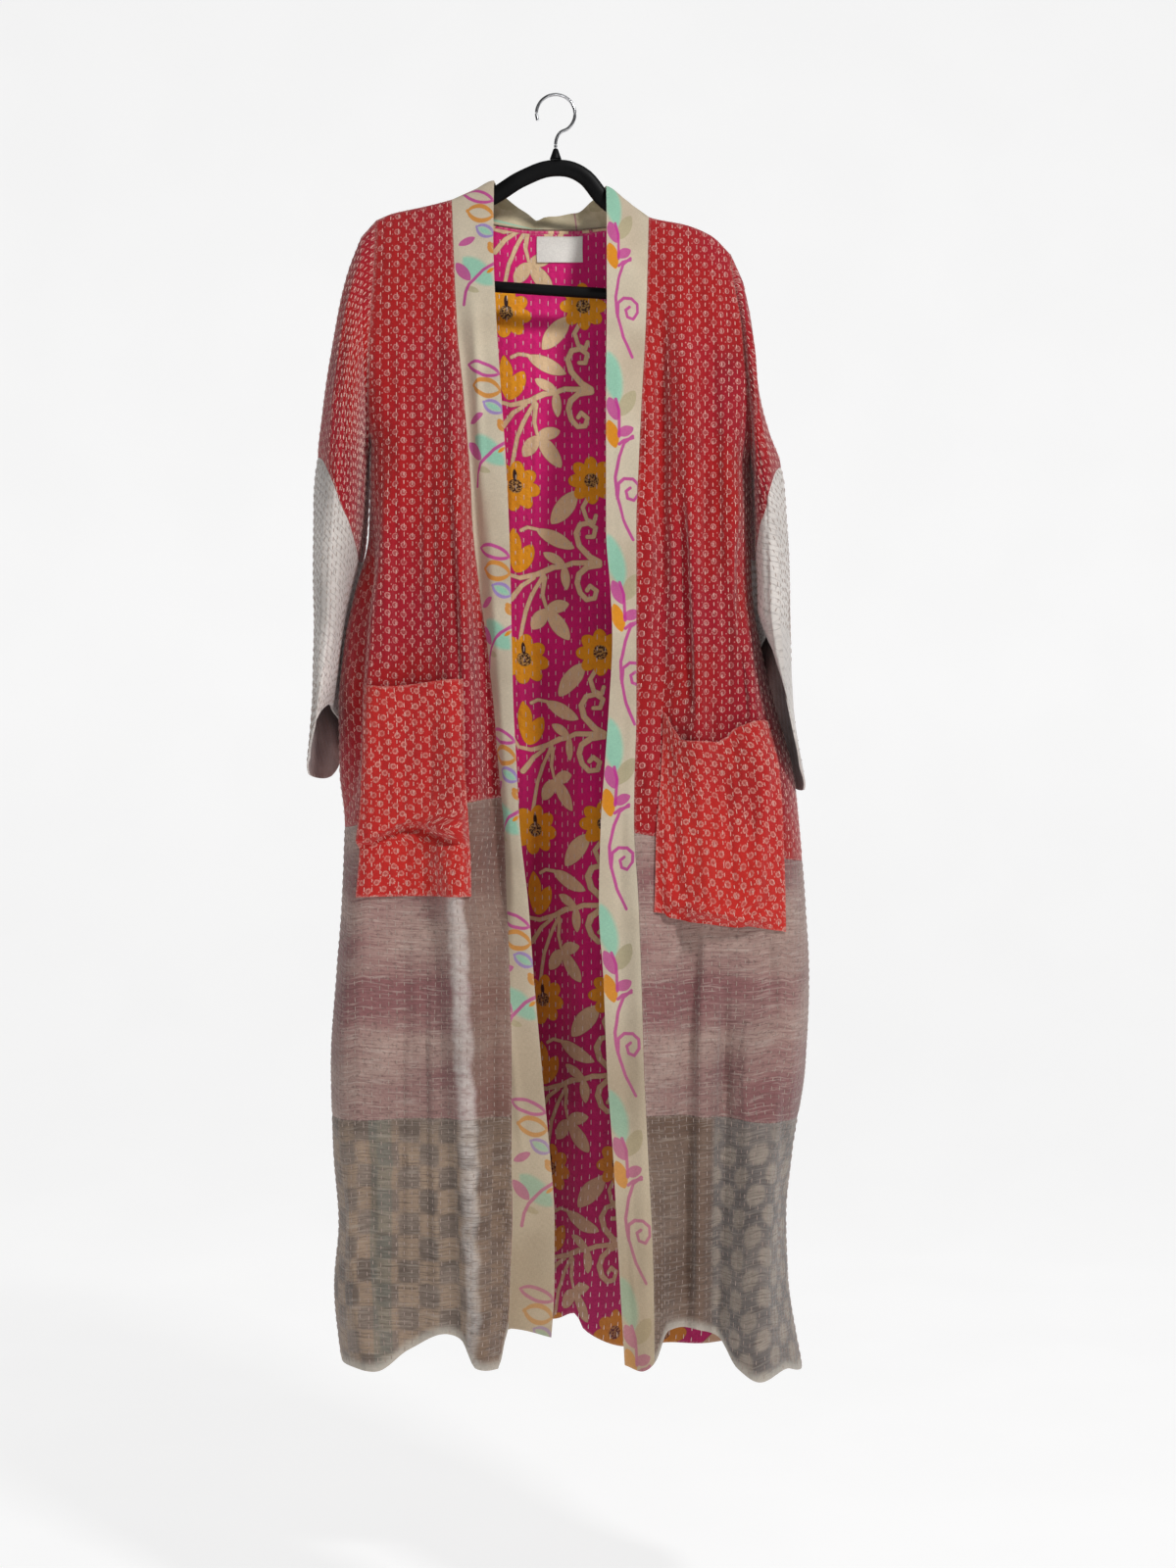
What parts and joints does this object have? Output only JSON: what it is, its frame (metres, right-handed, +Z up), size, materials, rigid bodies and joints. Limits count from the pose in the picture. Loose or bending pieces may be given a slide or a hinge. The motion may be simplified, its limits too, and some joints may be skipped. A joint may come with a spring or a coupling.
{
  "type": "long kimono robe on a coat hanger",
  "caption": "Open-front ankle-length kimono robe of quilted patchwork cotton with bands, cuffs and two patch pockets, hanging on a black plastic coat hanger.",
  "frame": {"origin": "inside top of the hanger's hook, where a rail carries it", "axes": "+Z up, the robe faces -Y, +X is the right of the front view"},
  "size_m": [0.5699, 0.2146, 1.4481],
  "materials": {
    "cotton_red": "matte, printed rings and running stitch",
    "cotton_mauve": "matte, slubbed, running stitch",
    "cotton_taupe": "matte, faded print, running stitch",
    "cotton_cuff": "matte, tone on tone line print",
    "cotton_band": "matte, printed vine and leaves",
    "cotton_lining": "matte, printed flowers, running stitch",
    "cotton_pocket": "matte, printed dots",
    "label_tape": "satin, blank",
    "plastic_black": "satin",
    "steel_hook": "polished"
  },
  "bodies": {
    "root": {"hanger_yoke": "plastic_black", "hanger_bar": "plastic_black", "hanger_boss": "plastic_black", "hanger_hook": "steel_hook", "front_left_upper": "cotton_red", "front_left_middle": "cotton_mauve", "front_left_lower": "cotton_taupe", "front_right_upper": "cotton_red", "front_right_middle": "cotton_mauve", "front_right_lower": "cotton_taupe", "band_left": "cotton_band", "band_right": "cotton_band", "band_neck": "cotton_band", "back_upper": "cotton_red", "back_middle": "cotton_mauve", "back_lower": "cotton_taupe", "back_lining": "cotton_lining", "sleeve_left": "cotton_red", "sleeve_right": "cotton_red", "cuff_left": "cotton_cuff", "cuff_right": "cotton_cuff", "pocket_left": "cotton_pocket", "pocket_right": "cotton_pocket", "label": "label_tape"}
  },
  "joints": []
}
